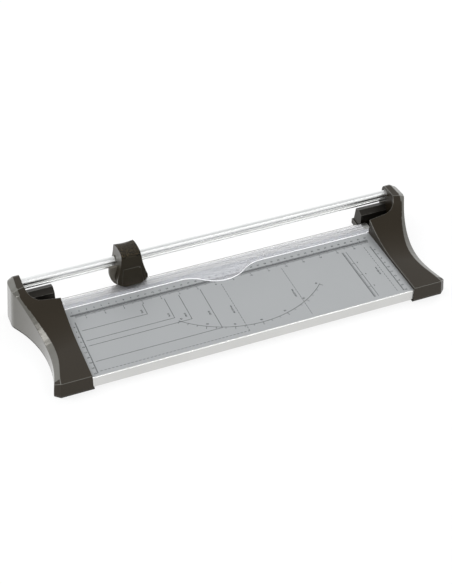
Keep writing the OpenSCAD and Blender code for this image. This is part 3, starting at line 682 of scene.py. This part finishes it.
def line_across(x, y0, y1, w, t):
    """A printed line across the cut's direction, w wide."""
    return bar(x - w / 2, x + w / 2, y0, y1, t)


def tick(x, y, across, along, t):
    """A printed tick whose middle is at x, y."""
    return bar(x - across / 2, x + across / 2, y - along / 2, y + along / 2, t)


def row(piece, count, x, y):
    """Repeats a mark, x and y mm apart on the sheet."""
    return modify(piece, "ARRAY", count=count, use_relative_offset=False,
                  use_constant_offset=True, constant_offset_displace=(x * MM, -y * MM, 0))


def lettering(text, x, y, size, t, turn=0.0):
    """A numeral or paper size centred at x, y."""
    bpy.ops.object.text_add(location=spot(x, y, t / 2), rotation=(0, 0, turn))
    piece = bpy.context.object
    piece.data.body = text
    piece.data.size = size
    piece.data.extrude = t / 2
    piece.data.offset = size * BOLD
    piece.data.resolution_u = 2
    piece.data.align_x = "CENTER"
    piece.data.align_y = "CENTER"
    only(piece)
    bpy.ops.object.convert(target="MESH")
    return settle(bpy.context.object)


def printed(name, marks):
    """Joins marks into one print on the sheet."""
    piece = join(name, marks)
    finish(piece, "screen_ink")
    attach(piece, "frame")


class TRIMMER_OT_rulers(Operator):
    """Print the centimetre and inch rulers along three sides of the sheet"""
    bl_idname = "trimmer.rulers"
    bl_label = "Print the Rulers"

    def execute(self, context):
        z = context.scene.trimmer_sizes
        t, w = z.print_t, z.tick / MM
        marks = [line_along(7, 431, RULER_Y, w, t)]
        # first tick, reach from the line (below 0 towards the cut), how many, how far apart
        for x, reach, count, pitch in (
                (7, -2.8, 425, 1), (10, -3.6, 43, 10), (15, -3.0, 42, 10),
                (INCH / 2, 3.6, 264, INCH / 16), (INCH, 6.0, 16, INCH),
                (INCH / 2, 4.8, 17, INCH)):
            marks.append(row(tick(x, RULER_Y + reach / 2, w, abs(reach), t), count, pitch, 0))
        marks += [lettering(str(n), 10 * n, CM_Y, z.numeral, t) for n in range(1, 44)]
        marks += [lettering(str(n), INCH * n, INCH_Y, z.numeral, t) for n in range(1, 17)]
        for x, inward in SIDE_RULERS:
            marks += [row(tick(x - 0.8 * inward, 52, 1.6, w, t), 99, 0, 1),
                      row(tick(x - 1.3 * inward, 60, 2.6, w, t), 10, 0, 10)]
            marks += [lettering(str(n), x - 4.2 * inward, 10 * n, z.numeral, t)
                      for n in range(6, 16)]
        marks += [line_across(x, FIELD_BACK, FIELD_FRONT, w, t) for x in (EDGE_X, EDGE_X + 6)]
        marks += [row(tick(EDGE_X + 1.2, 2 * INCH, 2.4, w, t), 62, 0, INCH / 16),
                  row(tick(EDGE_X + 3.0, 3 * INCH, 6, w, t), 3, 0, INCH)]
        marks += [lettering(str(n), EDGE_X + 10.5, INCH * n, z.numeral, t) for n in (3, 4, 5)]
        printed("printed_rulers", marks)
        return {"FINISHED"}


class TRIMMER_OT_formats(Operator):
    """Print the outlines of the paper and photo formats"""
    bl_idname = "trimmer.formats"
    bl_label = "Print the Formats"

    def execute(self, context):
        z = context.scene.trimmer_sizes
        t, w = z.print_t, z.line / MM
        marks = []
        for x, y in ((100, 70), (130, 90), (150, 100), (180, 130)):
            marks += [line_along(FIELD_LEFT, x + w / 2, y, w, t),
                      line_across(x, FIELD_BACK, y - w / 2, w, t)]
        dash, pitch = 3, 5
        marks.append(row(line_along(FIELD_LEFT, FIELD_LEFT + dash, FIELD_FRONT, w, t),
                         40, pitch, 0))
        for x in (210, 297, 420):
            marks.append(row(line_across(x, FIELD_BACK, FIELD_BACK + dash, w, t), 20, 0, pitch))
        up = math.pi / 2
        for text, x, y in (("7x10", 95, 63), ("9x13", 125, 82), ("10x15", 145, 90),
                           ("13x18", 175, 98), ("A5 210 mm", 205, 102),
                           ("A4 297 mm", 292, 102), ("A3 420 mm", 415, 102)):
            marks.append(lettering(text, x, y, z.numeral, t, up))
        printed("printed_formats", marks)
        return {"FINISHED"}


def on_arc(radius, turn):
    """How far right and before the cut a point lies that is turned round the arc's middle."""
    return ARC_X + radius * math.sin(turn), radius * math.cos(turn)


class TRIMMER_OT_angles(Operator):
    """Print the angle arc with its ticks and degrees"""
    bl_idname = "trimmer.angles"
    bl_label = "Print the Angles"

    def execute(self, context):
        z = context.scene.trimmer_sizes
        t, w = z.print_t, z.line / MM
        marks = []
        for degrees in range(-45, 46):
            turn = math.radians(degrees)
            marks.append(block(spot(*on_arc(ARC_R, turn), t / 2), (ARC_STEP * MM, w * MM, t),
                               turn))
            if degrees % 5 == 0:
                reach = 5.0 if degrees % 15 == 0 else 3.0
                marks.append(block(spot(*on_arc(ARC_R + reach / 2, turn), t / 2),
                                   (w * MM, reach * MM, t), turn))
            if degrees % 15 == 0:
                marks.append(lettering(str(90 - abs(degrees)), *on_arc(ARC_NUMERALS_R, turn),
                                       z.numeral, t, turn))
        printed("printed_angles", marks)
        return {"FINISHED"}


# Stage

AIM = Vector((-10.2, -1.8, 19)) * MM   # what the camera looks at
SENSOR = 36                       # width of the camera's film, in mm
PAPER_WHITE = 0.8                 # share of plain white in the floor that the camera sees


def soft_white(name, white):
    """Studio paper: white to the camera and in reflections, and still darkened by shadows."""
    mat, out = new_material(name)
    path = add(mat, "ShaderNodeLightPath")
    share = add(mat, "ShaderNodeMath", {0: path.outputs["Is Camera Ray"], 1: white},
                operation="MULTIPLY")
    for ray in ("Is Glossy Ray", "Is Transmission Ray"):
        share = add(mat, "ShaderNodeMath", {0: share.outputs["Value"], 1: path.outputs[ray]},
                    operation="MAXIMUM")
    paper = add(mat, "ShaderNodeBsdfDiffuse", {"Color": srgb("F6F6F6")})
    glow = add(mat, "ShaderNodeEmission", {"Color": (1, 1, 1, 1), "Strength": 1.0})
    mix = mixed(mat, share.outputs["Value"], paper.outputs["BSDF"], glow.outputs["Emission"])
    mat.node_tree.links.new(mix, out.inputs["Surface"])
    return mat


def softbox(name, location, target, size, watts):
    """A rectangular lamp of this size that faces target."""
    bpy.ops.object.light_add(type="AREA", location=location)
    lamp = bpy.context.object
    lamp.name = name
    lamp.data.shape = "RECTANGLE"
    lamp.data.size, lamp.data.size_y = size
    lamp.data.energy = watts
    lamp.rotation_euler = (Vector(target) - lamp.location).to_track_quat("-Z", "Y").to_euler()
    return lamp


class TRIMMER_OT_stage(Operator):
    """Set the floor, the lamps, the white room and the camera"""
    bl_idname = "trimmer.stage"
    bl_label = "Set the Stage"

    def execute(self, context):
        s = context.scene.trimmer_studio
        bpy.ops.mesh.primitive_plane_add(size=12, location=(0, 0, 0))
        floor = context.object
        floor.name = "studio_floor"
        floor.data.materials.append(soft_white("studio_paper", PAPER_WHITE))

        world = bpy.data.worlds.new("white_room")
        context.scene.world = world
        world.use_nodes = True
        world.node_tree.nodes.clear()
        path = add(world, "ShaderNodeLightPath")
        height = add(world, "ShaderNodeSeparateXYZ",
                     {"Vector": add(world, "ShaderNodeTexCoord").outputs["Generated"]})
        # the room keeps its light well above eye level and only dims towards the zenith
        steep = add(world, "ShaderNodeMath", {0: height.outputs["Z"], 1: 4.0}, operation="POWER")
        level = add(world, "ShaderNodeMath", {
            0: vary(world, steep.outputs["Value"], s.horizon, s.zenith),
            1: vary(world, height.outputs["Y"], 1.0, s.wall)}, operation="MULTIPLY")
        lit = add(world, "ShaderNodeBackground", {"Color": srgb("FBFCFD"),
                                                  "Strength": level.outputs["Value"]})
        seen = add(world, "ShaderNodeBackground", {"Color": (1, 1, 1, 1)})
        mix = mixed(world, path.outputs["Is Camera Ray"], lit.outputs["Background"],
                    seen.outputs["Background"])
        out = add(world, "ShaderNodeOutputWorld")
        world.node_tree.links.new(mix, out.inputs["Surface"])

        key = softbox("key_softbox", (1.1, 0.5, 1.3), (0, 0, 0), (0.8, 0.8), s.key)
        key.visible_glossy = False
        softbox("front_strip_light", (-0.3, -2.2, 0.32), (0, 0, 0.05), (3.2, 0.3), s.front)
        softbox("side_softbox", (-0.96, 0.3, 1.35), (-0.26, 0, 0.03), (0.45, 1.5), s.side)
        softbox("high_front_lamp", (0.62, -1.43, 1.55), (0, 0, 0.02), (1.6, 0.12), s.high)

        away = Vector((math.sin(s.azimuth) * math.cos(s.elevation),
                       -math.cos(s.azimuth) * math.cos(s.elevation), math.sin(s.elevation)))
        bpy.ops.object.camera_add(location=AIM + away * s.distance)
        camera = context.object
        camera.name = "studio_camera"
        camera.rotation_euler = (math.pi / 2 - s.elevation, 0, s.azimuth)
        camera.data.lens = s.lens
        camera.data.sensor_width = SENSOR
        context.scene.camera = camera
        context.scene.view_settings.view_transform = "Standard"
        return {"FINISHED"}


class TRIMMER_PT_looks(Panel):
    """Buttons for every piece, with the colours and the studio"""
    bl_idname = "TRIMMER_PT_looks"
    bl_label = "Rotary Trimmer"
    bl_space_type = "VIEW_3D"
    bl_region_type = "UI"
    bl_category = "Trimmer"

    def draw(self, context):
        for step in STEPS:
            self.layout.operator(step.bl_idname)
        for group in (context.scene.trimmer_colours, context.scene.trimmer_sizes,
                      context.scene.trimmer_studio):
            box = self.layout.box()
            for name in group.bl_rna.properties.keys():
                if name not in ("rna_type", "name"):
                    box.prop(group, name)


STEPS = (TRIMMER_OT_materials, TRIMMER_OT_caps, TRIMMER_OT_head, TRIMMER_OT_strip,
         TRIMMER_OT_board, TRIMMER_OT_knife, TRIMMER_OT_rulers, TRIMMER_OT_formats,
         TRIMMER_OT_angles, TRIMMER_OT_stage)
CLASSES = (TrimmerColours, TrimmerSizes, TrimmerStudio, *STEPS, TRIMMER_PT_looks)


def register():
    for cls in CLASSES:
        bpy.utils.register_class(cls)
    bpy.types.Scene.trimmer_colours = PointerProperty(type=TrimmerColours)
    bpy.types.Scene.trimmer_sizes = PointerProperty(type=TrimmerSizes)
    bpy.types.Scene.trimmer_studio = PointerProperty(type=TrimmerStudio)


def unregister():
    del bpy.types.Scene.trimmer_studio
    del bpy.types.Scene.trimmer_sizes
    del bpy.types.Scene.trimmer_colours
    for cls in reversed(CLASSES):
        bpy.utils.unregister_class(cls)


def main():
    """Builds everything in order."""
    register()
    bpy.ops.trimmer.materials()
    bpy.ops.trimmer.caps()
    bpy.ops.trimmer.head()
    bpy.ops.trimmer.strip()
    bpy.ops.trimmer.board()
    bpy.ops.trimmer.knife()
    bpy.ops.trimmer.rulers()
    bpy.ops.trimmer.formats()
    bpy.ops.trimmer.angles()
    bpy.ops.trimmer.stage()


if __name__ == "__main__":
    main()
